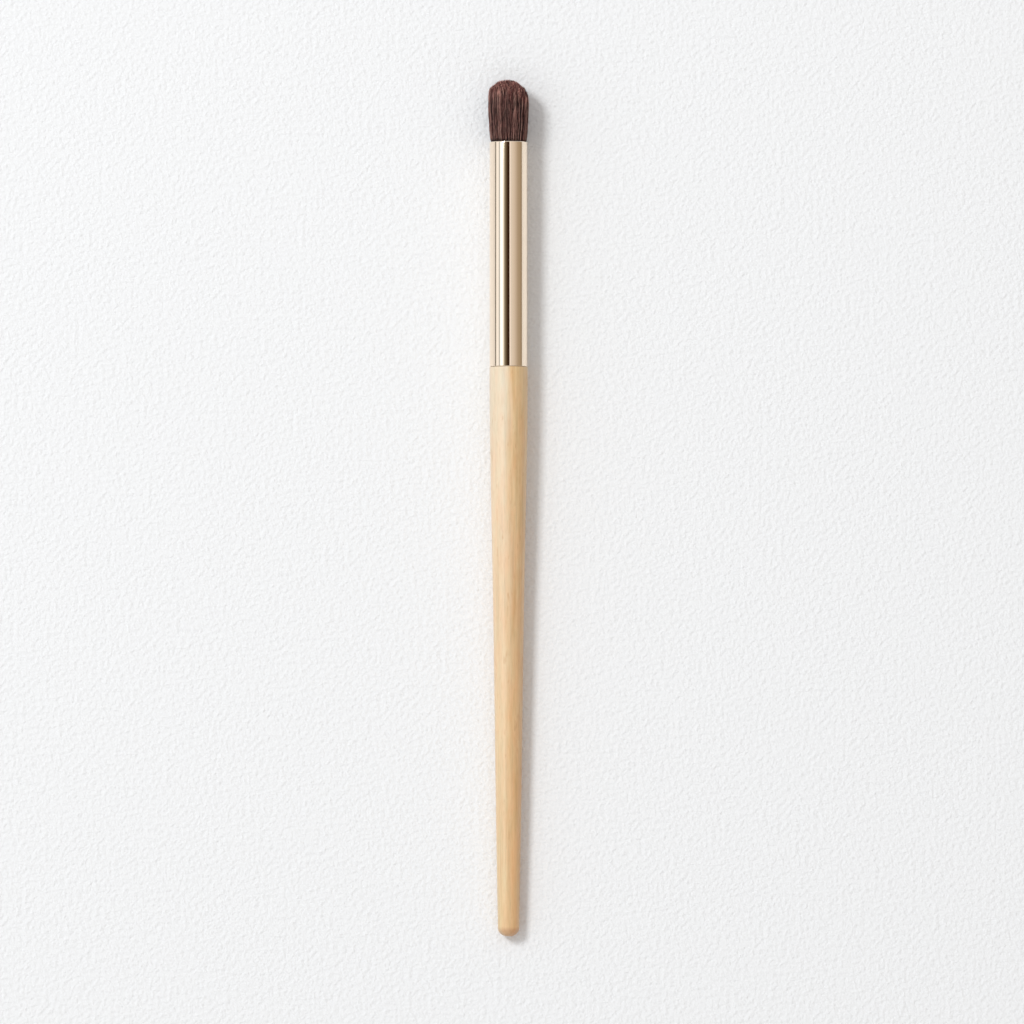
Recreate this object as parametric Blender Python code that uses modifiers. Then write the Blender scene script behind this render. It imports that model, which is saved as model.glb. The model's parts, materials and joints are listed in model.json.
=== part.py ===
"""Round blending brush for eye make-up, lying on a surface.

Every piece is turned, wound or grown round the brush's own axis, which is local +Z and runs from
the tail of the handle to the tip of the tuft. Local Z is zero at the rear rim of the ferrule. One
empty lays that axis along world +Y and tips it until the handle rests near its tail and on the
full part of its taper, with the middle of the brush over the world origin.
"""

import math

import bmesh
import bpy
from mathutils import Vector
from mathutils.geometry import delaunay_2d_cdt

MM = 0.001

# Shared by all pieces
TURN_SIDES = 24
FIT_GAP = 0.3 * MM
MERGE_DISTANCE = 0.001 * MM
SHARP_EDGE_ANGLE = math.radians(35)

# Ferrule: a plain drawn tube with a full-round lip at each end
FERRULE_LENGTH = 46.1 * MM
FERRULE_DIAMETER = 7.8 * MM
FERRULE_WALL = 0.3 * MM
LIP_STEPS = 6

# Visible tuft, as lengths stacked on the mouth of the ferrule
TUFT_NECK_LENGTH = 2.0 * MM
TUFT_SWELL_LENGTH = 6.2 * MM
TUFT_RIM_LENGTH = 1.0 * MM
TUFT_DOME_LENGTH = 3.3 * MM
TUFT_BELLY_DIAMETER = 8.4 * MM
MOUTH_GAP = 0.12 * MM
TIP_SCATTER = 0.35 * MM
TIP_GATHER_SHARE = 0.97

# Strands: one grows from each triangle between rings of points on the root's top
STRAND_RINGS = 8
RING_POINTS = 6
STRAND_SPACING = 0.1 * MM
STRAND_FOOT_RISE = 0.1 * MM
GOLDEN_SHARE = 0.618034

# Bonded root of the tuft, as lengths stacked below the mouth of the ferrule
ROOT_TOP_DEPTH = 1.0 * MM
ROOT_COLLAR_LENGTH = 2.6 * MM
ROOT_SKIRT_LENGTH = 2.0 * MM
ROOT_END_LENGTH = 1.8 * MM
ROOT_END_INSET = 0.7 * MM
ROOT_END_TAPER = 0.3 * MM

# Thread that ties the root in its waist
THREAD_DIAMETER = 0.3 * MM
THREAD_TURN_GAP = 0.44 * MM
THREAD_TURNS = 4
THREAD_POINTS_PER_TURN = 24

# Cup of cured resin that holds the root in the ferrule
RESIN_FLOOR_THICKNESS = 2.4 * MM
RESIN_MENISCUS_DEPTH = 0.8 * MM
RESIN_MENISCUS_STEPS = 4

# Handle, from its shoulder at the ferrule to its tail
HANDLE_LENGTH = 116.1 * MM
TAIL_DIAMETER = 4.35 * MM
TAIL_DOME_LENGTH = 2.0 * MM
TAIL_FLAT_DIAMETER = 1.4 * MM
TAIL_DOME_STEPS = 5
SHOULDER_BEVEL = 0.15 * MM
TAPER_STEPS = 2
# How far along the handle, and how much of the fall in radius has happened there
HANDLE_TAPER_SHARES = (
    (0.0, 0.0),
    (0.07, 0.014),
    (0.14, 0.06),
    (0.27, 0.23),
    (0.42, 0.42),
    (0.60, 0.59),
    (0.80, 0.77),
    (1.0, 1.0),
)

# Tenon of the handle inside the ferrule, with a bead of glue in each groove
TENON_LENGTH = 16.0 * MM
TENON_CHAMFER = 0.8 * MM
GROOVE_WIDTH = 2.0 * MM
GROOVE_DEPTH = 0.9 * MM
GROOVE_PLACE_SHARES = (0.3, 0.7)

# Radii that follow from the sizes above
FERRULE_RADIUS = FERRULE_DIAMETER / 2
BORE_RADIUS = FERRULE_RADIUS - FERRULE_WALL
ROOT_RADIUS = BORE_RADIUS - FIT_GAP
ROOT_END_RADIUS = ROOT_RADIUS - ROOT_END_INSET
WAIST_RADIUS = ROOT_RADIUS - THREAD_DIAMETER - 2 * FIT_GAP
MOUTH_SPREAD = BORE_RADIUS - MOUTH_GAP - ROOT_RADIUS
NECK_RADIUS = ROOT_RADIUS + MOUTH_SPREAD * (1 + TUFT_NECK_LENGTH / ROOT_TOP_DEPTH)
BELLY_RADIUS = TUFT_BELLY_DIAMETER / 2
TENON_RADIUS = BORE_RADIUS - FIT_GAP
GROOVE_RADIUS = TENON_RADIUS - GROOVE_DEPTH
TAIL_RADIUS = TAIL_DIAMETER / 2

# Heights on the brush's axis that follow from the sizes above
MOUTH_Z = FERRULE_LENGTH
NECK_Z = MOUTH_Z + TUFT_NECK_LENGTH
BELLY_Z = NECK_Z + TUFT_SWELL_LENGTH
DOME_Z = BELLY_Z + TUFT_RIM_LENGTH
TIP_Z = DOME_Z + TUFT_DOME_LENGTH
THREAD_PITCH = THREAD_DIAMETER + THREAD_TURN_GAP
WAIST_LENGTH = THREAD_TURNS * THREAD_PITCH + THREAD_DIAMETER + 2 * FIT_GAP
ROOT_TOP_Z = MOUTH_Z - ROOT_TOP_DEPTH
WAIST_TOP_Z = ROOT_TOP_Z - ROOT_COLLAR_LENGTH
WAIST_END_Z = WAIST_TOP_Z - WAIST_LENGTH
SKIRT_END_Z = WAIST_END_Z - ROOT_SKIRT_LENGTH
ROOT_END_Z = SKIRT_END_Z - ROOT_END_LENGTH
SHOULDER_Z = -FIT_GAP
TENON_END_Z = SHOULDER_Z + TENON_LENGTH
TAIL_Z = SHOULDER_Z - HANDLE_LENGTH
TAIL_RIM_Z = TAIL_Z + TAIL_DOME_LENGTH


def clear_scene():
    for obj in list(bpy.data.objects):
        bpy.data.objects.remove(obj)


def make_material(name, colour, roughness, metallic=0.0):
    material = bpy.data.materials.new(name)
    material.use_nodes = True
    shader = material.node_tree.nodes["Principled BSDF"]
    shader.inputs["Base Color"].default_value = (*colour, 1.0)
    shader.inputs["Roughness"].default_value = roughness
    shader.inputs["Metallic"].default_value = metallic
    material.diffuse_color = (*colour, 1.0)
    return material


def add_piece(name, data, material, height=0.0):
    """An object on the brush's axis, with its own origin at the given height on that axis."""
    piece = bpy.data.objects.new(name, data)
    piece.data.materials.append(material)
    piece.location.z = height
    piece.rotation_euler.z = math.pi / TURN_SIDES
    return piece


def turn(name, outline, material, height=0.0, ring=False):
    """A turned solid. The outline is (radius, height) pairs that run down its outer side."""
    ends = [(len(outline) - 1, 0)] if ring else []
    edges = [(i, i + 1) for i in range(len(outline) - 1)] + ends
    profile = bpy.data.meshes.new(name)
    profile.from_pydata([(radius, 0.0, z) for radius, z in outline], edges, [])
    piece = add_piece(name, profile, material, height)
    screw = piece.modifiers.new("Turn", "SCREW")
    screw.steps = TURN_SIDES
    screw.render_steps = TURN_SIDES
    screw.use_merge_vertices = True
    screw.merge_threshold = MERGE_DISTANCE
    return piece


def shade(piece):
    """Replaces a turned piece's profile with its solid, shaded smooth between its sharp edges."""
    graph = bpy.context.evaluated_depsgraph_get()
    solid = bpy.data.meshes.new_from_object(piece.evaluated_get(graph))
    solid.name = piece.name
    piece.modifiers.clear()
    piece.data = solid
    solid.shade_smooth()
    solid.set_sharp_from_angle(angle=SHARP_EDGE_ANGLE)


def arc(centre, radii, start, end, steps):
    """Points of an ellipse's arc, with radii (across, along) and angles in degrees from +X."""
    points = []
    for step in range(steps + 1):
        angle = math.radians(start + (end - start) * step / steps)
        across = centre[0] + radii[0] * math.cos(angle)
        points.append((across, centre[1] + radii[1] * math.sin(angle)))
    return points


def smooth_through(knots, steps):
    """Points on a smooth curve through the knots, with so many steps from each to the next."""
    knots = [Vector(knot) for knot in knots]
    padded = [2 * knots[0] - knots[1], *knots, 2 * knots[-1] - knots[-2]]
    points = []
    for before, start, end, after in zip(padded, padded[1:], padded[2:], padded[3:]):
        for step in range(steps):
            t = step / steps
            straight = 2 * start + (end - before) * t
            bend = 2 * before - 5 * start + 4 * end - after
            twist = 3 * start - before - 3 * end + after
            points.append((straight + bend * t**2 + twist * t**3) / 2)
    return points + [knots[-1]]


def handle_taper():
    """(radius, height) pairs down the handle, from under its shoulder's bevel to its tail's rim."""
    top = SHOULDER_Z - SHOULDER_BEVEL
    fall = FERRULE_RADIUS - TAIL_RADIUS
    return [
        (FERRULE_RADIUS - fall * share.y, top + (TAIL_RIM_Z - top) * share.x)
        for share in smooth_through(HANDLE_TAPER_SHARES, TAPER_STEPS)
    ]


def groove_places():
    """The middle height of each glue groove on the tenon, rear groove first."""
    return [SHOULDER_Z + TENON_LENGTH * share for share in GROOVE_PLACE_SHARES]


def make_handle(material):
    """Turned wood: a tenon with two glue grooves, a shoulder, a long taper and a domed tail."""
    outline = [
        (0.0, TENON_END_Z),
        (TENON_RADIUS - TENON_CHAMFER, TENON_END_Z),
        (TENON_RADIUS, TENON_END_Z - TENON_CHAMFER),
    ]
    for place in reversed(groove_places()):
        outline += [
            (TENON_RADIUS, place + GROOVE_WIDTH / 2),
            (GROOVE_RADIUS, place + GROOVE_WIDTH / 2),
            (GROOVE_RADIUS, place - GROOVE_WIDTH / 2),
            (TENON_RADIUS, place - GROOVE_WIDTH / 2),
        ]
    outline += [(TENON_RADIUS, SHOULDER_Z), (FERRULE_RADIUS - SHOULDER_BEVEL, SHOULDER_Z)]
    outline += handle_taper()
    # The dome is an ellipse, cut by the flat where it has narrowed to the flat's width
    flat_angle = math.acos(TAIL_FLAT_DIAMETER / TAIL_DIAMETER)
    full_length = TAIL_DOME_LENGTH / math.sin(flat_angle)
    radii = (TAIL_RADIUS, full_length)
    dome = arc((0.0, TAIL_RIM_Z), radii, 0, -math.degrees(flat_angle), TAIL_DOME_STEPS)
    outline += dome[1:] + [(0.0, TAIL_Z)]
    return turn("handle", outline, material)


def make_glue_bead(name, place, material):
    """A ring of glue that fills one groove of the tenon."""
    inner = GROOVE_RADIUS + FIT_GAP
    half = GROOVE_WIDTH / 2 - FIT_GAP
    outline = [(TENON_RADIUS, half), (TENON_RADIUS, -half), (inner, -half), (inner, half)]
    return turn(name, outline, material, height=place, ring=True)


def make_ferrule(material):
    """A thin drawn tube whose two rims are rounded over."""
    lip = FERRULE_WALL / 2
    middle = FERRULE_RADIUS - lip
    front = arc((middle, FERRULE_LENGTH - lip), (lip, lip), 180, 0, LIP_STEPS)
    rear = arc((middle, lip), (lip, lip), 0, -180, LIP_STEPS)
    return turn("ferrule", front + rear, material, ring=True)


def make_resin_cup(material):
    """Cured resin round and behind the root's end, hollowed behind where it shrank."""
    outer = ROOT_RADIUS
    inner = ROOT_END_RADIUS + FIT_GAP
    floor = ROOT_END_Z - FIT_GAP
    rim = SKIRT_END_Z - FIT_GAP
    back = floor - RESIN_FLOOR_THICKNESS
    meniscus = arc((0.0, back), (outer, RESIN_MENISCUS_DEPTH), 0, 90, RESIN_MENISCUS_STEPS)
    outline = [(0.0, floor), (inner, floor), (inner, rim), (outer, rim), *meniscus[:-1]]
    outline.append((0.0, back + RESIN_MENISCUS_DEPTH))
    return turn("resin_cup", outline, material)


def least_turn_gap(points):
    """The least gap between two turns of a wound thread, measured from point to point."""
    half_turn = THREAD_POINTS_PER_TURN // 2
    distances = []
    for index, point in enumerate(points):
        distances += [(point - other).length for other in points[index + half_turn:]]
    return min(distances) - THREAD_DIAMETER


def make_root_thread(material):
    """The thread wound round the root's waist, as one open helix."""
    radius = WAIST_RADIUS + FIT_GAP + THREAD_DIAMETER / 2
    bottom = WAIST_END_Z + FIT_GAP + THREAD_DIAMETER / 2
    points = []
    for index in range(THREAD_TURNS * THREAD_POINTS_PER_TURN + 1):
        turns = index / THREAD_POINTS_PER_TURN
        angle = math.tau * turns
        across = Vector((math.cos(angle), math.sin(angle), 0.0)) * radius
        points.append(across + Vector((0.0, 0.0, THREAD_PITCH * turns)))
    print(f"root_thread: least gap to itself {least_turn_gap(points) / MM:.2f} mm")

    curve = bpy.data.curves.new("root_thread", "CURVE")
    curve.dimensions = "3D"
    curve.bevel_depth = THREAD_DIAMETER / 2
    curve.bevel_resolution = 1
    curve.use_fill_caps = True
    spline = curve.splines.new("POLY")
    spline.points.add(len(points) - 1)
    for spline_point, point in zip(spline.points, points):
        spline_point.co = (*point, 1.0)
    return add_piece("root_thread", curve, material, height=bottom)


def root_cells():
    """Triangles between rings of points that fill the root's top, and the points themselves."""
    points = [Vector((0.0, 0.0))]
    for ring in range(1, STRAND_RINGS + 1):
        radius = ROOT_RADIUS * ring / STRAND_RINGS
        for index in range(RING_POINTS * ring):
            angle = math.tau * index / (RING_POINTS * ring)
            points.append(Vector((radius * math.cos(angle), radius * math.sin(angle))))
    places, _, cells, *_ = delaunay_2d_cdt(points, [], [], 0, MERGE_DISTANCE)
    return places, cells


def grow_strands(bm, cells):
    """Draws each cell out into a three-sided strand that ends in a point on the tuft's dome."""
    foot, rise = STRAND_SPACING / 2, STRAND_FOOT_RISE
    bmesh.ops.inset_individual(bm, faces=cells, thickness=foot, depth=rise)
    radius = ROOT_RADIUS
    for next_radius, height in ((NECK_RADIUS, NECK_Z), (BELLY_RADIUS, BELLY_Z)):
        cells = bmesh.ops.extrude_discrete_faces(bm, faces=cells)["faces"]
        for vert in {vert for face in cells for vert in face.verts}:
            vert.co.xy *= next_radius / radius
            vert.co.z = height - MOUTH_Z
        radius = next_radius
    tips = bmesh.ops.poke(bm, faces=cells)["verts"]
    for index, tip in enumerate(tips):
        dome_share = math.sqrt(1 - (tip.co.xy.length / radius) ** 2)
        scatter = TIP_SCATTER * (index * GOLDEN_SHARE % 1.0)
        tip.co.xy *= TIP_GATHER_SHARE
        tip.co.z = DOME_Z - MOUTH_Z + TUFT_DOME_LENGTH * dome_share - scatter


def close_root(bm):
    """Carries the rim of the strands' cells down round the bonded root and closes its end."""
    sections = (
        (ROOT_RADIUS, WAIST_TOP_Z),
        (WAIST_RADIUS, WAIST_TOP_Z),
        (WAIST_RADIUS, WAIST_END_Z),
        (ROOT_RADIUS, WAIST_END_Z),
        (ROOT_RADIUS, SKIRT_END_Z),
        (ROOT_END_RADIUS, SKIRT_END_Z),
        (ROOT_END_RADIUS - ROOT_END_TAPER, ROOT_END_Z),
    )
    rim = [edge for edge in bm.edges if edge.is_boundary]
    for radius, height in sections:
        grown = bmesh.ops.extrude_edge_only(bm, edges=rim)["geom"]
        rim = [item for item in grown if isinstance(item, bmesh.types.BMEdge)]
        for vert in {vert for edge in rim for vert in edge.verts}:
            vert.co.xy = vert.co.xy.normalized() * radius
            vert.co.z = height - MOUTH_Z
    bmesh.ops.contextual_create(bm, geom=rim)
    bmesh.ops.recalc_face_normals(bm, faces=bm.faces)


def make_bristle_tuft(material):
    """Strands that swell to a belly and end in a dome, grown from their bonded root."""
    places, cells = root_cells()
    mesh = bpy.data.meshes.new("bristle_tuft")
    bm = bmesh.new()
    verts = [bm.verts.new((place.x, place.y, ROOT_TOP_Z - MOUTH_Z)) for place in places]
    faces = [bm.faces.new([verts[index] for index in cell]) for cell in cells]
    bm.normal_update()
    grow_strands(bm, faces)
    close_root(bm)
    bm.to_mesh(mesh)
    bm.free()
    return add_piece("bristle_tuft", mesh, material, height=MOUTH_Z)


def resting_chord():
    """The two outline points, rear one first, that a surface under the handle touches.

    Of all chords from the rear half of the taper to a point further forward, it is the one that
    passes furthest from the axis at the taper's middle.
    """
    outline = [*handle_taper(), (BELLY_RADIUS, BELLY_Z)]
    middle = (SHOULDER_Z + TAIL_RIM_Z) / 2
    rears = [point for point in outline if point[1] < middle]
    fronts = [point for point in outline if point[1] >= middle]
    chords = [(rear, front) for rear in rears for front in fronts]

    def radius_at_middle(chord):
        (rear_radius, rear_z), (front_radius, front_z) = chord
        share = (middle - rear_z) / (front_z - rear_z)
        return rear_radius + (front_radius - rear_radius) * share

    return max(chords, key=radius_at_middle)


def lay_down(pieces):
    """Parents the pieces to one empty that lays the brush along +Y, at rest on a surface.

    The turned pieces are polygons in section and lie on a flat side, which is nearer the axis
    than their corners by one share.
    """
    flat_share = math.cos(math.pi / TURN_SIDES)
    (rear_radius, rear_z), (front_radius, front_z) = resting_chord()
    tilt = math.atan2((front_radius - rear_radius) * flat_share, front_z - rear_z)
    axis = bpy.data.objects.new("brush_axis", None)
    axis.rotation_euler.x = tilt - math.pi / 2
    axis.location.y = -(TIP_Z + TAIL_Z) / 2 * math.cos(tilt)
    axis.location.z = rear_radius * flat_share * math.cos(tilt) - rear_z * math.sin(tilt)
    for piece in pieces:
        piece.parent = axis
    return axis


def main():
    clear_scene()
    wood = make_material("pale_wood", (0.80, 0.61, 0.38), 0.42)
    metal = make_material("champagne_metal", (0.86, 0.74, 0.56), 0.12, metallic=1.0)
    fibre = make_material("brown_fibre", (0.085, 0.045, 0.038), 0.55)
    thread = make_material("binding_thread", (0.75, 0.72, 0.66), 0.8)
    resin = make_material("cured_resin", (0.72, 0.58, 0.34), 0.25)
    glue = make_material("wood_glue", (0.82, 0.78, 0.68), 0.45)

    rear_place, front_place = groove_places()
    turned = [
        make_handle(wood),
        make_ferrule(metal),
        make_resin_cup(resin),
        make_glue_bead("glue_bead_front", front_place, glue),
        make_glue_bead("glue_bead_rear", rear_place, glue),
    ]
    grown = [make_bristle_tuft(fibre), make_root_thread(thread)]

    brush = bpy.data.collections.new("blending_brush")
    bpy.context.scene.collection.children.link(brush)
    for obj in [lay_down(turned + grown), *turned, *grown]:
        brush.objects.link(obj)
    for piece in turned:
        shade(piece)


main()
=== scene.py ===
"""Looks, floor, light and camera for the blending brush.

Every piece made here lies on the brush's own axis. Local +Z runs along it from the tail of the
handle to the tip of the tuft, and local Z is zero at the rear rim of the ferrule.
"""

import json
import math

import bpy
import numpy as np
from mathutils import Matrix, Vector


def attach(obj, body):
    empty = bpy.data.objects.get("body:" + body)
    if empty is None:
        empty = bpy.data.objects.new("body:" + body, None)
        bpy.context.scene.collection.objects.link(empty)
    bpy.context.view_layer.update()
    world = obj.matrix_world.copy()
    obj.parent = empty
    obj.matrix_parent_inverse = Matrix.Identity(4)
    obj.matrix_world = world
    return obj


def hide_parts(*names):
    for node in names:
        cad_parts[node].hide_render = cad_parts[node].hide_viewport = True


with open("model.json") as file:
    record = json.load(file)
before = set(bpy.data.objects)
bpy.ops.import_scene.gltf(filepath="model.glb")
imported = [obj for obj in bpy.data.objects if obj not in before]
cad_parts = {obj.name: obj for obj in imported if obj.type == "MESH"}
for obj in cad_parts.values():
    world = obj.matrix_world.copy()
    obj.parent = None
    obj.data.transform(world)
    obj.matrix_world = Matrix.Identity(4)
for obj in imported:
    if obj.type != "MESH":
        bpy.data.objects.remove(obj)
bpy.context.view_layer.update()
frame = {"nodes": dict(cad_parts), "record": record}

MM = 0.001

# Turned surfaces
TURN_SIDES = 160
SHARP_EDGE_ANGLE = math.radians(40)
ARC_STEPS = 8

# Ferrule: a drawn tube whose mouth is rolled in to a soft lip
FERRULE_LENGTH = 46.1 * MM
FERRULE_RADIUS = 3.9 * MM
FERRULE_WALL = 0.3 * MM
MOUTH_LIP_OUTER = 0.2 * MM
REAR_LIP_OUTER = 0.09 * MM

# Handle, from its shoulder at the ferrule to its tail
SHOULDER_Z = -0.07 * MM
SHOULDER_ROUND = 0.1 * MM
TAIL_Z = -116.4 * MM
TAIL_RADIUS = 2.175 * MM
TAIL_DOME_LENGTH = 1.7 * MM
TAIL_FLAT_RADIUS = 0.7 * MM
TAPER_STEPS = 14
# How far along the handle, and how much of the fall in radius has happened there
HANDLE_TAPER_SHARES = (
    (0.0, 0.0),
    (0.07, 0.014),
    (0.14, 0.06),
    (0.27, 0.23),
    (0.42, 0.42),
    (0.60, 0.59),
    (0.80, 0.77),
    (1.0, 1.0),
)

# Tenon of the handle inside the ferrule, with two glue grooves
TENON_END_Z = 15.7 * MM
TENON_RADIUS = 3.3 * MM
TENON_CHAMFER = 0.8 * MM
GROOVE_RADIUS = 2.4 * MM
GROOVE_WIDTH = 2.0 * MM
GROOVE_PLACES = (10.9 * MM, 4.5 * MM)

# Wood: how far across the brush it turns from the cream of a painted sheen on its left side,
# towards the key light, to the golden wood, and how far that line drifts
WOOD_SHEEN_SIDE_EDGE = (-0.9 * MM, 1.0 * MM)
WOOD_SHEEN_EDGE_DRIFT = 0.6 * MM
# Heights above the tail between which the painted shade on its dome fades out
DOME_SHADE_FADE = (1.2 * MM, 1.9 * MM)

# Bonded root of the tuft, as (radius, height) below the mouth of the ferrule
ROOT_OUTLINE = (
    (0.0 * MM, -1.0 * MM),
    (3.3 * MM, -1.0 * MM),
    (3.3 * MM, -3.6 * MM),
    (2.4 * MM, -3.6 * MM),
    (2.4 * MM, -7.46 * MM),
    (3.3 * MM, -7.46 * MM),
    (3.3 * MM, -9.46 * MM),
    (2.6 * MM, -9.46 * MM),
    (2.3 * MM, -11.26 * MM),
    (0.0 * MM, -11.26 * MM),
)

# Outer radius of the tuft at heights above the mouth of the ferrule
TUFT_OUTLINE = (
    (-1.2 * MM, 3.30 * MM),
    (-0.4 * MM, 3.47 * MM),
    (0.0 * MM, 3.6 * MM),
    (0.3 * MM, 3.71 * MM),
    (0.74 * MM, 3.80 * MM),
    (1.96 * MM, 3.93 * MM),
    (3.2 * MM, 4.03 * MM),
    (4.4 * MM, 4.11 * MM),
    (5.6 * MM, 4.17 * MM),
    (6.9 * MM, 4.21 * MM),
    (8.1 * MM, 4.24 * MM),
    (9.3 * MM, 4.22 * MM),
    (10.5 * MM, 4.17 * MM),
    (12.8 * MM, 4.05 * MM),
)
# Where a strand ends: its share of the tuft's radius, and its height above the mouth
TIP_OUTLINE = (
    (0.0, 13.15 * MM),
    (0.40, 12.87 * MM),
    (0.60, 12.35 * MM),
    (0.80, 11.65 * MM),
    (0.90, 11.1 * MM),
    (0.96, 10.5 * MM),
    (1.0, 9.6 * MM),
)
# The dome's middle lies a little to one side of the brush's axis
DOME_OFF_CENTRE_SHARE = (-0.07, 0.0)

# Strands
STRANDS = 9600
STRAND_RINGS = 14
STRAND_SIDES = 3
STRAND_RADIUS = 0.04 * MM
# Thickness up a strand, as (share of its length, share of its thickness)
STRAND_TAPER = ((0.0, 1.0), (0.8, 0.95), (1.0, 0.3))
# Random shift of a strand's seat, as a share of the space between seats
SEAT_JITTER_SHARE = 0.3
# How much of the tuft's radius all strands but the loose ones keep within
BODY_SHARE = 0.955
CLUMPS = 1100
# A strand leans more and more up its length, and is drawn to its clump's middle early on
CLUMP_PULL_SHARE = 0.2
CLUMP_PULL_POWER = 0.6
CLUMP_LEAN = 0.07 * MM
STRAND_LEAN = 0.09 * MM
LEAN_POWER = 1.3
CLUMP_SWAY = 0.045 * MM
CLUMP_SWAY_LENGTH = 5.0 * MM
STRAND_SWAY = 0.045 * MM
STRAND_SWAY_LENGTH = 4.0 * MM
SWAY_SIZE_RANGE = (0.4, 1.0)
SWAY_LENGTH_RANGE = (0.7, 1.4)
# Height above the mouth at which the sway is full
SWAY_FADE_HEIGHT = 2.0 * MM
CLUMP_TIP_SCATTER = 0.10 * MM
# How far the tips of most strands fall short of the dome; a few reach it
STRAND_TIP_SHORTFALL = 0.55 * MM
SHORTFALL_POWER = 0.35
MEAN_TONE = 0.44
CLUMP_TONE_SPREAD = 0.08
STRAND_TONE_SPREAD = 0.45
# Loose outer strands, lighter than the body of the tuft: real loose strands, with a painted rim
# light where light shines through the outer fibres
STRAYS = 90
STRAY_RIM_LIGHT_RISE = 0.42
HAIR_PIECES = 5
GOLDEN_ANGLE = math.pi * (3 - math.sqrt(5))
# Keeps a division away from zero
SMALLEST_LENGTH = 0.001 * MM

# Camera, far enough away to see the brush almost without perspective
PIXEL = 0.2044 * MM
IMAGE_PIXELS = 1024
FRAME_WIDTH = IMAGE_PIXELS * PIXEL
CAMERA_DISTANCE = 2.5
CAMERA_ELEVATION = math.radians(86.25)
CAMERA_TARGET = Vector((0.70 * MM, -0.84 * MM, 4.0 * MM))
CAMERA_CLIP_END = 30.0

# Light: one long softbox, under a studio that the world stands for
KEY_DIRECTION = Vector((-0.62, 0.45, 1.0))
KEY_DISTANCE = 1.8
KEY_WIDTH_ANGLE = math.radians(12.5)
KEY_LENGTH_ANGLE = math.radians(15)
KEY_RADIANCE = 26.4
KEY_COLOUR = (0.975, 1.0, 1.02)
FLOOR_SIZE = 14.0

rng = np.random.default_rng(31)


# The brush's own axis, from the mount on its tail

def brush_matrix():
    mount = frame["record"]["mounts"][0]
    along = -Vector(mount["axis"]).normalized()
    side = Vector((1.0, 0.0, 0.0))
    origin = Vector(mount["pos_m"]) - along * TAIL_Z
    matrix = Matrix((side, along.cross(side), along)).transposed().to_4x4()
    matrix.translation = origin
    return matrix


BRUSH = brush_matrix()


# Node materials

# Sockets of the Mix node when it mixes colours
MIX_FACTOR, MIX_FIRST, MIX_SECOND, MIX_RESULT = 0, 6, 7, 2


class Shader:
    """A material's node tree, with short calls to add and join its nodes."""

    def __init__(self, name):
        self.material = bpy.data.materials.new(name)
        self.material.use_nodes = True
        self.tree = self.material.node_tree
        self.surface = self.tree.nodes["Principled BSDF"]

    def add(self, kind, **settings):
        node = self.tree.nodes.new("ShaderNode" + kind)
        for key, value in settings.items():
            setattr(node, key, value)
        return node

    def join(self, output, node, socket):
        self.tree.links.new(output, node.inputs[socket])

    def set(self, **values):
        """Sets the surface's own sockets, named with _ for each space."""
        for key, value in values.items():
            self.surface.inputs[key.replace("_", " ")].default_value = value

    def axes(self, source):
        """The X, Y and Z of a texture coordinate, such as Object or Generated."""
        coordinates = self.add("TexCoord")
        parts = self.add("SeparateXYZ")
        self.join(coordinates.outputs[source], parts, "Vector")
        return [parts.outputs[axis] for axis in "XYZ"]

    def coordinates(self, scale):
        """Object coordinates, stretched by a scale for each axis."""
        source = self.add("TexCoord")
        mapping = self.add("Mapping")
        mapping.inputs["Scale"].default_value = scale
        self.join(source.outputs["Object"], mapping, "Vector")
        return mapping.outputs["Vector"]

    def noise(self, scale, detail=3.0, roughness=0.55, distortion=0.0):
        """Noise with so many waves a metre along each axis."""
        node = self.add("TexNoise")
        self.join(self.coordinates(scale), node, "Vector")
        node.inputs["Scale"].default_value = 1.0
        node.inputs["Detail"].default_value = detail
        node.inputs["Roughness"].default_value = roughness
        node.inputs["Distortion"].default_value = distortion
        return node.outputs["Fac"]

    def ramp(self, value, stops):
        """A colour ramp. The stops are (place, colour) pairs, a colour being a grey or an RGB."""
        node = self.add("ValToRGB")
        elements = node.color_ramp.elements
        while len(elements) < len(stops):
            elements.new(0.5)
        for element, (place, colour) in zip(elements, stops):
            element.position = place
            rgb = colour if isinstance(colour, tuple) else (colour,) * 3
            element.color = (*rgb, 1.0)
        self.join(value, node, "Fac")
        return node.outputs["Color"]

    def remap(self, value, low, high, to_low=0.0, to_high=1.0):
        """Takes a value from one range to another, and clamps it there."""
        node = self.add("MapRange")
        limits = {"From Min": low, "From Max": high, "To Min": to_low, "To Max": to_high}
        for key, number in limits.items():
            node.inputs[key].default_value = number
        self.join(value, node, "Value")
        return node.outputs["Result"]

    def math(self, operation, *values):
        node = self.add("Math", operation=operation)
        for socket, value in enumerate(values):
            self.join(value, node, socket)
        return node.outputs["Value"]

    def mix(self, factor, first, second, blend="MIX"):
        """Mixes two colours by a factor. Each is an output, or else an RGB or a number."""
        node = self.add("Mix", data_type="RGBA", blend_type=blend)
        for socket, value in ((MIX_FACTOR, factor), (MIX_FIRST, first), (MIX_SECOND, second)):
            if isinstance(value, float):
                node.inputs[socket].default_value = value
            elif isinstance(value, tuple):
                node.inputs[socket].default_value = (*value, 1.0)
            else:
                self.join(value, node, socket)
        return node.outputs[MIX_RESULT]

    def multiply(self, colour, *others):
        for other in others:
            colour = self.mix(1.0, colour, other, "MULTIPLY")
        return colour

    def bump(self, height, distance, strength=1.0):
        node = self.add("Bump")
        node.inputs["Strength"].default_value = strength
        node.inputs["Distance"].default_value = distance
        self.join(height, node, "Height")
        self.join(node.outputs["Normal"], self.surface, "Normal")

    def colour(self, output):
        self.join(output, self.surface, "Base Color")

    def roughness(self, output):
        self.join(output, self.surface, "Roughness")


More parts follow.
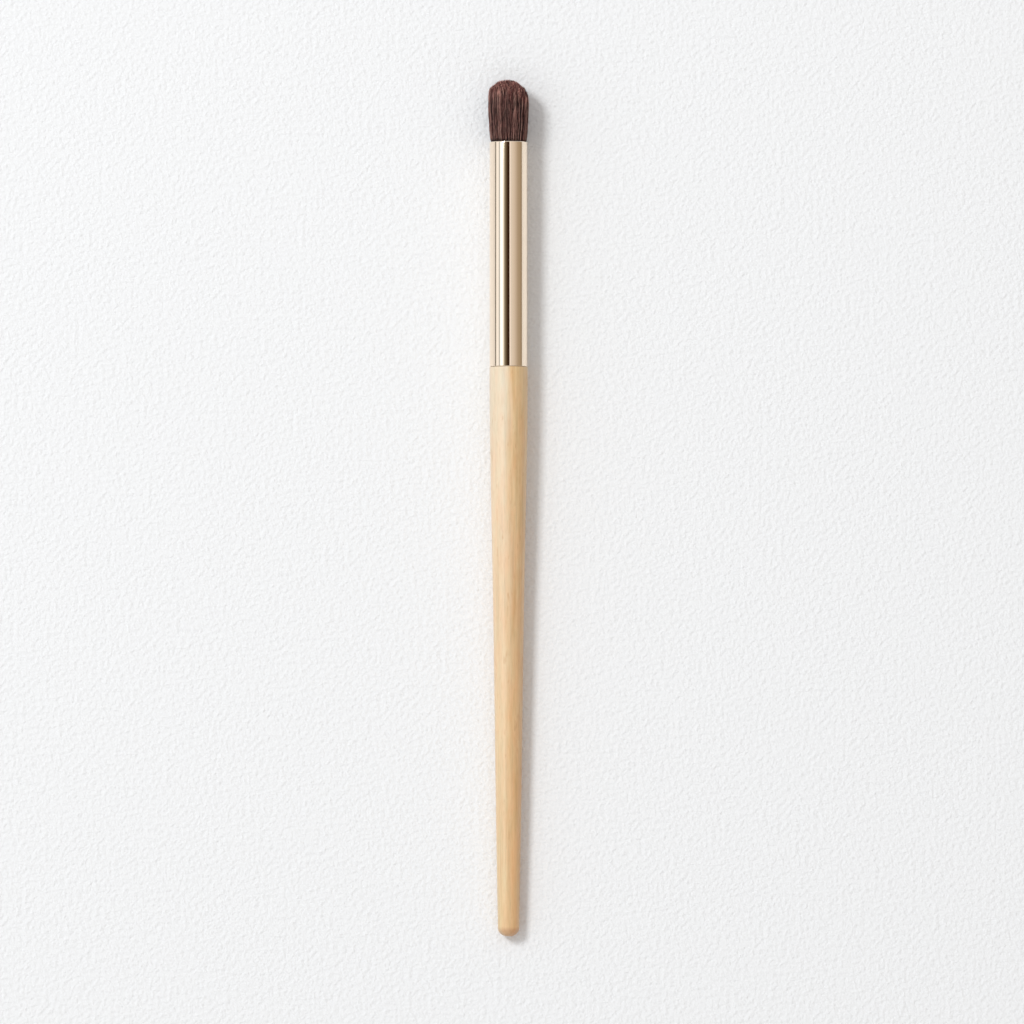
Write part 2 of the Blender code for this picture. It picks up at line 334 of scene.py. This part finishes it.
def metal_material():
    """Champagne-coloured drawn metal, polished, with faint lines along the tube."""
    shader = Shader("champagne_metal")
    lines = shader.noise((9000, 9000, 60), detail=2.0)
    cloud = shader.noise((180, 180, 90), detail=2.0)
    warm = shader.ramp(cloud, ((0.3, (0.97, 0.825, 0.665)), (0.7, (0.99, 0.845, 0.685))))
    shader.colour(warm)
    shader.roughness(shader.remap(lines, 0.3, 0.7, 0.055, 0.075))
    shader.bump(lines, distance=0.002 * MM, strength=0.25)
    shader.set(Metallic=1.0)
    return shader.material


def wood_material():
    """Pale turned wood under satin lacquer, creamier at the ferrule and warmer at the tail, with a
    painted sheen that makes its left side, towards the key light, paler and creamier.
    """
    shader = Shader("pale_wood")
    x, _, z = shader.axes("Object")
    place = shader.remap(z, TAIL_Z, SHOULDER_Z)
    # The cream ramp is the wood under a painted sheen of the key light; the golden ramp is the
    # wood's own colour
    painted_sheen_cream = shader.ramp(place, (
        (0.0, (0.742, 0.535, 0.298)),
        (0.65, (0.800, 0.585, 0.375)),
        (1.0, (0.780, 0.650, 0.480)),
    ))
    golden = shader.ramp(place, (
        (0.0, (0.775, 0.480, 0.235)),
        (0.65, (0.785, 0.530, 0.290)),
        (1.0, (0.815, 0.570, 0.310)),
    ))
    flames = shader.noise((850, 850, 80), detail=3.0, distortion=0.2)
    flame = shader.ramp(flames, ((0.36, (0.94, 0.89, 0.82)), (0.62, (1.03, 1.04, 1.06))))
    waves = shader.noise((500, 500, 60), detail=3.0)
    # Painted sheen: the side at object -X, towards the key light, turns cream
    sheen_edge_drift = shader.remap(waves, 0.3, 0.7, -WOOD_SHEEN_EDGE_DRIFT, WOOD_SHEEN_EDGE_DRIFT)
    sheen_side = shader.remap(shader.math("ADD", x, sheen_edge_drift), *WOOD_SHEEN_SIDE_EDGE)
    ground = shader.mix(sheen_side, painted_sheen_cream, shader.multiply(golden, flame))

    streaks = shader.noise((1500, 1500, 36), detail=4.0, roughness=0.6, distortion=0.2)
    grain = shader.ramp(streaks, ((0.3, 0.88), (0.55, 1.0), (0.75, 1.04)))
    pores = shader.noise((4200, 4200, 480), detail=2.0)
    fine = shader.ramp(pores, (
        (0.32, (0.95, 0.935, 0.91)),
        (0.5, 1.0),
        (0.7, (1.02, 1.025, 1.035)),
    ))
    blush = shader.noise((750, 750, 190), detail=2.0)
    hue = shader.ramp(blush, ((0.35, (1.02, 0.97, 0.945)), (0.65, (0.985, 1.02, 1.02))))
    coloured = shader.multiply(ground, grain, fine, hue)

    flecks = shader.noise((1100, 1100, 260), detail=2.0)
    fleck_mask = shader.ramp(flecks, ((0.64, 0.0), (0.74, 0.45)))
    flecked = shader.mix(fleck_mask, coloured, (0.60, 0.33, 0.16))
    # Painted shade: the tail's dome is darker, as it faces away from the key light
    fade_start, fade_end = DOME_SHADE_FADE
    above_dome = shader.remap(z, TAIL_Z + fade_start, TAIL_Z + fade_end)
    painted_dome_shade = shader.mix(above_dome, (0.85, 0.78, 0.79), (1.0, 1.0, 1.0))
    shader.colour(shader.multiply(flecked, painted_dome_shade))
    shader.roughness(shader.remap(streaks, 0.2, 0.8, 0.42, 0.55))
    shader.bump(streaks, distance=0.01 * MM, strength=0.35)
    shader.set(Specular_IOR_Level=0.3, Coat_Weight=0.6, Coat_Roughness=0.28, Coat_IOR=1.5)
    return shader.material


def hair_material():
    """Dark reddish brown fibre, with each strand in its own tone, painted shade just above the
    mouth of the ferrule, and painted light making the tips lighter.
    """
    shader = Shader("brown_fibre")
    tone = shader.add("Attribute", attribute_name="tone").outputs["Fac"]
    reach = shader.add("Attribute", attribute_name="reach").outputs["Fac"]
    body = shader.ramp(tone, (
        (0.0, (0.006, 0.001, 0.001)),
        (0.35, (0.032, 0.008, 0.007)),
        (0.65, (0.092, 0.032, 0.029)),
        (1.0, (0.345, 0.195, 0.160)),
    ))
    # Painted shade just above the mouth of the ferrule, and painted light towards the tips
    mouth_shade_and_tip_light = shader.ramp(reach, ((0.12, 0.28), (0.165, 1.16), (0.30, 1.06), (0.78, 1.0), (1.0, 2.9)))
    mottle = shader.noise((4600, 4600, 640), detail=2.0)
    patches = shader.ramp(mottle, ((0.3, (0.36, 0.32, 0.32)), (0.7, (1.72, 1.70, 1.68))))
    blush = shader.noise((1300, 1300, 400), detail=2.0)
    hue = shader.ramp(blush, ((0.35, (0.82, 0.88, 0.88)), (0.65, (1.18, 1.07, 1.09))))
    shader.colour(shader.multiply(body, mouth_shade_and_tip_light, hue, patches))
    shader.roughness(shader.remap(tone, 0.0, 1.0, 0.55, 0.42))
    shader.set(Specular_IOR_Level=0.25)
    return shader.material


def root_material():
    """The same fibre where resin binds it: darker, smoother, with lengthwise lines."""
    shader = Shader("bonded_fibre")
    lines = shader.noise((5200, 5200, 180), detail=3.0)
    shader.colour(shader.ramp(lines, ((0.3, (0.020, 0.010, 0.008)), (0.7, (0.085, 0.045, 0.036)))))
    shader.roughness(shader.remap(lines, 0.3, 0.7, 0.3, 0.55))
    shader.bump(lines, distance=0.03 * MM, strength=0.6)
    return shader.material


def thread_material():
    """Undyed twisted thread."""
    shader = Shader("binding_thread")
    fuzz = shader.noise((7000, 7000, 7000), detail=3.0)
    shader.colour(shader.ramp(fuzz, ((0.3, (0.60, 0.55, 0.47)), (0.7, (0.80, 0.77, 0.70)))))
    shader.roughness(shader.remap(fuzz, 0.3, 0.7, 0.75, 0.9))
    shader.bump(fuzz, distance=0.03 * MM, strength=0.5)
    return shader.material


def resin_material():
    """Amber cured resin with a slight cloudiness."""
    shader = Shader("cured_resin")
    cloud = shader.noise((700, 700, 700), detail=3.0)
    shader.colour(shader.ramp(cloud, ((0.3, (0.62, 0.45, 0.22)), (0.7, (0.76, 0.61, 0.36)))))
    shader.roughness(shader.remap(cloud, 0.3, 0.7, 0.12, 0.25))
    return shader.material


def glue_material():
    """Dried wood glue, off-white and a little uneven."""
    shader = Shader("wood_glue")
    lumps = shader.noise((1600, 1600, 1600), detail=3.0)
    shader.colour(shader.ramp(lumps, ((0.3, (0.74, 0.66, 0.50)), (0.7, (0.84, 0.80, 0.70)))))
    shader.roughness(shader.remap(lumps, 0.3, 0.7, 0.35, 0.55))
    shader.bump(lumps, distance=0.05 * MM, strength=0.4)
    return shader.material


def paper_material():
    """White paper with a fine tooth."""
    shader = Shader("white_paper")
    tooth = shader.noise((1050, 1050, 1050), detail=1.5)
    shader.colour(shader.ramp(tooth, ((0.3, (0.863, 0.873, 0.884)), (0.7, (0.877, 0.887, 0.898)))))
    shader.roughness(shader.remap(tooth, 0.3, 0.7, 0.85, 0.95))
    shader.bump(tooth, distance=0.3 * MM)
    shader.set(Specular_IOR_Level=0.2, Sheen_Weight=1.0, Sheen_Roughness=0.6)
    return shader.material


# Turned pieces

def new_piece(name, mesh, material):
    piece = bpy.data.objects.new(name, mesh)
    mesh.materials.append(material)
    bpy.context.scene.collection.objects.link(piece)
    piece.matrix_world = BRUSH
    return piece


def turned(name, outline, material, ring=False):
    """A turned surface. The outline is (radius, height) pairs that run down its outer side."""
    angles = np.linspace(0.0, math.tau, TURN_SIDES, endpoint=False)
    circle = np.stack([np.cos(angles), np.sin(angles)], axis=1)
    verts, rings, faces = [], [], []
    for radius, height in outline:
        rings.append((len(verts), radius > 0))
        points = circle * radius if radius > 0 else [(0.0, 0.0)]
        verts += [(x, y, height) for x, y in points]
    pairs = list(zip(rings, rings[1:])) + ([(rings[-1], rings[0])] if ring else [])
    for (first, first_open), (second, second_open) in pairs:
        for side in range(TURN_SIDES):
            after = (side + 1) % TURN_SIDES
            upper = [first + side, first + after] if first_open else [first]
            lower = [second + after, second + side] if second_open else [second]
            faces.append((upper + lower)[::-1])
    mesh = bpy.data.meshes.new(name)
    mesh.from_pydata(verts, [], faces)
    mesh.shade_smooth()
    mesh.set_sharp_from_angle(angle=SHARP_EDGE_ANGLE)
    return new_piece(name, mesh, material)


def arc(centre, radii, start, end, steps=ARC_STEPS):
    """Points of an ellipse's arc, with radii (across, along) and angles in degrees from +X."""
    angles = np.radians(np.linspace(start, end, steps + 1))
    return [
        (centre[0] + radii[0] * math.cos(angle), centre[1] + radii[1] * math.sin(angle))
        for angle in angles
    ]


def smooth_through(knots, steps):
    """Points on a smooth curve through the knots, with so many steps from each to the next."""
    knots = [Vector(knot) for knot in knots]
    padded = [2 * knots[0] - knots[1], *knots, 2 * knots[-1] - knots[-2]]
    points = []
    for before, start, end, after in zip(padded, padded[1:], padded[2:], padded[3:]):
        for step in range(steps):
            t = step / steps
            straight = 2 * start + (end - before) * t
            bend = 2 * before - 5 * start + 4 * end - after
            twist = 3 * start - before - 3 * end + after
            points.append((straight + bend * t**2 + twist * t**3) / 2)
    return points + [knots[-1]]


def make_handle(material):
    """A tenon with two glue grooves, a rounded shoulder, a long taper and a domed tail."""
    outline = [
        (0.0, TENON_END_Z),
        (TENON_RADIUS - TENON_CHAMFER, TENON_END_Z),
        (TENON_RADIUS, TENON_END_Z - TENON_CHAMFER),
    ]
    for place in GROOVE_PLACES:
        outline += [
            (TENON_RADIUS, place + GROOVE_WIDTH / 2),
            (GROOVE_RADIUS, place + GROOVE_WIDTH / 2),
            (GROOVE_RADIUS, place - GROOVE_WIDTH / 2),
            (TENON_RADIUS, place - GROOVE_WIDTH / 2),
        ]
    edge = SHOULDER_ROUND
    outline.append((TENON_RADIUS, SHOULDER_Z))
    outline += arc((FERRULE_RADIUS - edge, SHOULDER_Z - edge), (edge, edge), 90, 0)
    top = SHOULDER_Z - edge
    rim = TAIL_Z + TAIL_DOME_LENGTH
    fall = FERRULE_RADIUS - TAIL_RADIUS
    taper = smooth_through(HANDLE_TAPER_SHARES, TAPER_STEPS)
    outline += [(FERRULE_RADIUS - fall * s.y, top + (rim - top) * s.x) for s in taper[1:]]
    flat_angle = math.acos(TAIL_FLAT_RADIUS / TAIL_RADIUS)
    radii = (TAIL_RADIUS, TAIL_DOME_LENGTH / math.sin(flat_angle))
    outline += arc((0.0, rim), radii, 0, -math.degrees(flat_angle), 2 * ARC_STEPS)[1:]
    outline.append((0.0, TAIL_Z))
    return turned("handle_wood", outline, material)


def make_ferrule(material):
    """A tube with a lip at each end that is rounded more at its mouth than at its rear rim."""
    front, rear = MOUTH_LIP_OUTER, REAR_LIP_OUTER
    inner = FERRULE_RADIUS - FERRULE_WALL
    front_in = FERRULE_WALL - front
    rear_in = FERRULE_WALL - rear
    outline = arc((inner + front_in, FERRULE_LENGTH - front_in), (front_in, front_in), 180, 90)
    outline += arc((FERRULE_RADIUS - front, FERRULE_LENGTH - front), (front, front), 90, 0)[1:]
    outline += arc((FERRULE_RADIUS - rear, rear), (rear, rear), 0, -90)
    outline += arc((inner + rear_in, rear_in), (rear_in, rear_in), -90, -180)[1:]
    return turned("ferrule_tube", outline, material, ring=True)


def make_root(material):
    outline = [(radius, FERRULE_LENGTH + height) for radius, height in ROOT_OUTLINE]
    return turned("tuft_root", outline, material)


# Tuft

def sunflower(count):
    """Evenly spread points in a unit disc, as x, y rows."""
    index = np.arange(count)
    radius = np.sqrt((index + 0.5) / count)
    angle = index * GOLDEN_ANGLE
    return np.stack([radius * np.cos(angle), radius * np.sin(angle)], axis=1)


def sway(heights, reach, length, group):
    """A slow sideways wave up each strand, the same for all strands of a group."""
    count = group.max() + 1
    size = reach * rng.uniform(*SWAY_SIZE_RANGE, (count, 2))[group]
    wave = length * rng.uniform(*SWAY_LENGTH_RANGE, (count, 2))[group]
    phase = rng.uniform(0.0, math.tau, (count, 2))[group]
    turns = math.tau * heights[:, :, None] / wave[:, None, :] + phase[:, None, :]
    return size[:, None, :] * np.sin(turns)


def strand_seats(stray):
    """Where strands stand in a unit disc, and the share of its radius that each keeps within."""
    seats = sunflower(STRANDS)
    seats += rng.normal(0.0, SEAT_JITTER_SHARE / math.sqrt(STRANDS), seats.shape)
    spread = np.linalg.norm(seats, axis=1)
    limit_share = np.where(stray, rng.uniform(BODY_SHARE, 1.0, STRANDS), BODY_SHARE)
    return seats * (limit_share / np.maximum(spread, 1.0))[:, None], limit_share


def strand_tips(seats, clump):
    """How high each strand ends above the mouth of the ferrule."""
    tip_share, tip_height = np.array(TIP_OUTLINE).T
    off_centre = np.linalg.norm(seats - DOME_OFF_CENTRE_SHARE, axis=1)
    mouth_shade_and_tip_light = np.interp(off_centre, tip_share, tip_height)
    mouth_shade_and_tip_light -= CLUMP_TIP_SCATTER * np.abs(rng.normal(size=CLUMPS))[clump]
    mouth_shade_and_tip_light -= STRAND_TIP_SHORTFALL * rng.uniform(size=STRANDS) ** SHORTFALL_POWER
    return mouth_shade_and_tip_light


def strand_paths():
    """Centre lines of all strands, as (strand, ring, xyz), with each strand's tone."""
    stray = np.arange(STRANDS) >= STRANDS - STRAYS
    seats, limit_share = strand_seats(stray)
    centres = sunflower(CLUMPS) * BODY_SHARE
    gaps = ((seats[:, None, :] - centres[None, :, :]) ** 2).sum(axis=2)
    clump = gaps.argmin(axis=1)

    base = TUFT_OUTLINE[0][0]
    mouth_shade_and_tip_light = strand_tips(seats, clump)
    rise = np.linspace(0.0, 1.0, STRAND_RINGS)
    heights = base + (mouth_shade_and_tip_light[:, None] - base) * rise[None, :]
    outer_height, outer_radius = np.array(TUFT_OUTLINE).T
    outer = np.interp(heights, outer_height, outer_radius)

    lean = rng.normal(0.0, CLUMP_LEAN, (CLUMPS, 2))[clump]
    lean += rng.normal(0.0, STRAND_LEAN, (STRANDS, 2))
    pull = (centres[clump] - seats) * outer.max() * CLUMP_PULL_SHARE
    pull[stray] = 0.0
    up = rise[None, :, None]
    push = up**LEAN_POWER * lean[:, None, :] + up**CLUMP_PULL_POWER * pull[:, None, :]
    wave = sway(heights, CLUMP_SWAY, CLUMP_SWAY_LENGTH, clump)
    wave += sway(heights, STRAND_SWAY, STRAND_SWAY_LENGTH, np.arange(STRANDS))
    fade = np.clip(heights / SWAY_FADE_HEIGHT, 0.0, 1.0)[:, :, None]
    across = seats[:, None, :] * outer[:, :, None] + push + fade * wave
    # No strand leaves the tuft's outline
    limit = outer * limit_share[:, None]
    distance = np.linalg.norm(across, axis=2)
    across *= np.minimum(1.0, limit / np.maximum(distance, SMALLEST_LENGTH))[:, :, None]

    paths = np.concatenate([across, heights[:, :, None] + FERRULE_LENGTH], axis=2)
    # Loose strands get a lighter tone, a painted rim light
    tone = MEAN_TONE + STRAY_RIM_LIGHT_RISE * stray + STRAND_TONE_SPREAD * rng.normal(size=STRANDS)
    tone += CLUMP_TONE_SPREAD * rng.normal(size=CLUMPS)[clump]
    return paths, np.clip(tone, 0.0, 1.0)


def strand_mesh(name, paths, tones):
    """Thin three-sided closed tubes round the centre lines."""
    count = len(paths)
    rise = np.linspace(0.0, 1.0, STRAND_RINGS)
    slim = np.interp(rise, *zip(*STRAND_TAPER)) * STRAND_RADIUS
    corner = np.arange(STRAND_SIDES) * math.tau / STRAND_SIDES
    angle = rng.uniform(0.0, math.tau, count)[:, None] + corner[None, :]
    round_xy = np.stack([np.cos(angle), np.sin(angle), np.zeros_like(angle)], axis=2)
    verts = paths[:, :, None, :] + round_xy[:, None, :, :] * slim[None, :, None, None]
    per_strand = STRAND_RINGS * STRAND_SIDES
    verts = verts.reshape(-1, 3)

    quads = []
    for ring in range(STRAND_RINGS - 1):
        for side in range(STRAND_SIDES):
            after = (side + 1) % STRAND_SIDES
            low, high = ring * STRAND_SIDES, (ring + 1) * STRAND_SIDES
            quads.append((low + side, low + after, high + after, high + side))
    # One triangle closes each end of a three-sided strand
    last = per_strand - STRAND_SIDES
    caps = [(2, 1, 0), (last, last + 1, last + 2)]
    starts = np.arange(count) * per_strand
    quad_ids = (starts[:, None, None] + np.array(quads)[None]).reshape(-1, 4)
    cap_ids = (starts[:, None, None] + np.array(caps)[None]).reshape(-1, 3)

    mesh = bpy.data.meshes.new(name)
    mesh.vertices.add(len(verts))
    mesh.vertices.foreach_set("co", verts.ravel())
    corners = np.concatenate([quad_ids.ravel(), cap_ids.ravel()])
    mesh.loops.add(len(corners))
    mesh.loops.foreach_set("vertex_index", corners)
    mesh.polygons.add(len(quad_ids) + len(cap_ids))
    quad_starts = np.arange(len(quad_ids)) * 4
    cap_starts = quad_ids.size + np.arange(len(cap_ids)) * 3
    mesh.polygons.foreach_set("loop_start", np.concatenate([quad_starts, cap_starts]))
    mesh.update(calc_edges=True)
    mesh.validate()
    mesh.shade_smooth()
    for label, values in (
        ("tone", np.repeat(tones, per_strand)),
        ("reach", np.tile(np.repeat(rise, STRAND_SIDES), count)),
    ):
        attribute = mesh.attributes.new(label, "FLOAT", "POINT")
        attribute.data.foreach_set("value", values.astype(np.float32))
    return mesh


def make_hair(material):
    paths, tones = strand_paths()
    pieces = []
    for index in range(HAIR_PIECES):
        name = f"hair_{index + 1}"
        mesh = strand_mesh(name, paths[index::HAIR_PIECES], tones[index::HAIR_PIECES])
        pieces.append(new_piece(name, mesh, material))
    return pieces


# Stage, light and camera

def make_floor(height):
    mesh = bpy.data.meshes.new("paper_floor")
    half = FLOOR_SIZE / 2
    corners = [(x * half, y * half, height) for x, y in ((-1, -1), (1, -1), (1, 1), (-1, 1))]
    mesh.from_pydata(corners, [], [(0, 1, 2, 3)])
    mesh.materials.append(paper_material())
    floor = bpy.data.objects.new("paper_floor", mesh)
    bpy.context.scene.collection.objects.link(floor)


def make_key_light():
    away = KEY_DIRECTION.normalized()
    across = Vector((0.0, 1.0, 0.0)).cross(away).normalized()
    light = bpy.data.lights.new("key", "AREA")
    light.shape = "RECTANGLE"
    light.size = 2 * KEY_DISTANCE * math.tan(KEY_WIDTH_ANGLE / 2)
    light.size_y = 2 * KEY_DISTANCE * math.tan(KEY_LENGTH_ANGLE / 2)
    light.energy = KEY_RADIANCE * math.pi * light.size * light.size_y
    light.color = KEY_COLOUR
    lamp = bpy.data.objects.new("key", light)
    lamp.matrix_world = Matrix((across, away.cross(across), away)).transposed().to_4x4()
    lamp.location = away * KEY_DISTANCE
    bpy.context.scene.collection.objects.link(lamp)


# Radiance of the studio by angle from overhead in degrees, left to right across the brush
STUDIO_BANDS = (
    (-90.0, (0.10, 0.09, 0.07)),
    (-83.0, (0.10, 0.09, 0.07)),
    (-80.5, (0.95, 0.95, 0.95)),
    (-64.0, (1.03, 1.04, 1.06)),
    (-60.0, (0.50, 0.50, 0.50)),
    (-56.0, (0.50, 0.50, 0.50)),
    (-52.0, (1.00, 1.08, 1.20)),
    (-45.0, (1.45, 1.55, 1.65)),
    (-37.0, (1.40, 1.45, 1.40)),
    (-26.0, (0.40, 0.37, 0.30)),
    (-18.0, (0.17, 0.135, 0.09)),
    (-6.0, (0.04, 0.02, 0.008)),
    (5.4, (0.02, 0.006, 0.001)),
    (7.2, (1.05, 0.98, 0.95)),
    (15.0, (0.75, 0.70, 0.65)),
    (34.0, (0.665, 0.59, 0.52)),
    (58.0, (0.425, 0.347, 0.26)),
    (76.0, (0.365, 0.293, 0.207)),
    (89.5, (0.265, 0.212, 0.145)),
)
# Even fill beyond the brush's ends, by the direction's Y, X and Z from the middle of the brush
STUDIO_FILL_ENDS = (0.18, 0.4)
STUDIO_FILL_SIDES = (-0.7, 0.7)
STUDIO_FILL_LEFT = (0.90, 0.89, 0.89)
STUDIO_FILL_RIGHT = (0.58, 0.57, 0.57)
STUDIO_FILL_RISE = (0.45, 1.30)
# Horizon, below the direction's Z at which the studio starts
STUDIO_HORIZON = (0.86, 0.86, 0.87)
STUDIO_HORIZON_FADE = (0.03, 0.015)


class WorldShader(Shader):
    def __init__(self):
        world = bpy.data.worlds.new("studio")
        world.use_nodes = True
        bpy.context.scene.world = world
        self.tree = world.node_tree
        self.surface = self.tree.nodes["Background"]


def make_world():
    """Bands of light along the brush, an even fill beyond its ends, and a pale horizon."""
    shader = WorldShader()
    x, y, z = shader.axes("Generated")
    angle = shader.remap(shader.math("ARCTAN2", x, z), -math.pi / 2, math.pi / 2)
    bands = shader.ramp(angle, [((degrees + 90) / 180, rgb) for degrees, rgb in STUDIO_BANDS])
    ends = shader.remap(shader.math("ABSOLUTE", y), *STUDIO_FILL_ENDS)
    sides = shader.remap(x, *STUDIO_FILL_SIDES)
    side_fill = shader.mix(sides, STUDIO_FILL_LEFT, STUDIO_FILL_RIGHT)
    fill = shader.multiply(side_fill, shader.remap(z, 0.0, 1.0, *STUDIO_FILL_RISE))
    low = shader.remap(z, *STUDIO_HORIZON_FADE)
    light = shader.mix(low, shader.mix(ends, bands, fill), STUDIO_HORIZON)
    shader.join(light, shader.surface, "Color")


def make_camera():
    back = Vector((0.0, -math.cos(CAMERA_ELEVATION), math.sin(CAMERA_ELEVATION)))
    data = bpy.data.cameras.new("camera")
    data.lens = data.sensor_width * CAMERA_DISTANCE / FRAME_WIDTH
    data.clip_end = CAMERA_CLIP_END
    camera = bpy.data.objects.new("camera", data)
    camera.rotation_mode = "QUATERNION"
    camera.location = CAMERA_TARGET + back * CAMERA_DISTANCE
    camera.rotation_quaternion = (-back).to_track_quat("-Z", "Y")
    bpy.context.scene.collection.objects.link(camera)
    bpy.context.scene.camera = camera


# Assembly

ferrule = make_ferrule(metal_material())
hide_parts("ferrule")

handle = make_handle(wood_material())
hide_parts("handle")

root = make_root(root_material())
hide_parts("bristle_tuft")
hairs = make_hair(hair_material())
for hair in hairs:
    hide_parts("bristle_tuft")

for piece in [ferrule, handle, root, *hairs]:
    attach(piece, "root")

for name, material in (
    ("root_thread", thread_material()),
    ("resin_cup", resin_material()),
    ("glue_bead_front", glue_material()),
    ("glue_bead_rear", glue_material()),
):
    node = frame["nodes"][name]
    node.data.materials.clear()
    node.data.materials.append(material)

# The floor touches the lowest point of the handle
bpy.context.view_layer.update()
visual_low = min((handle.matrix_world @ vert.co).z for vert in handle.data.vertices)
make_floor(visual_low)
make_key_light()
make_world()
make_camera()
bpy.context.scene.view_settings.view_transform = "Standard"
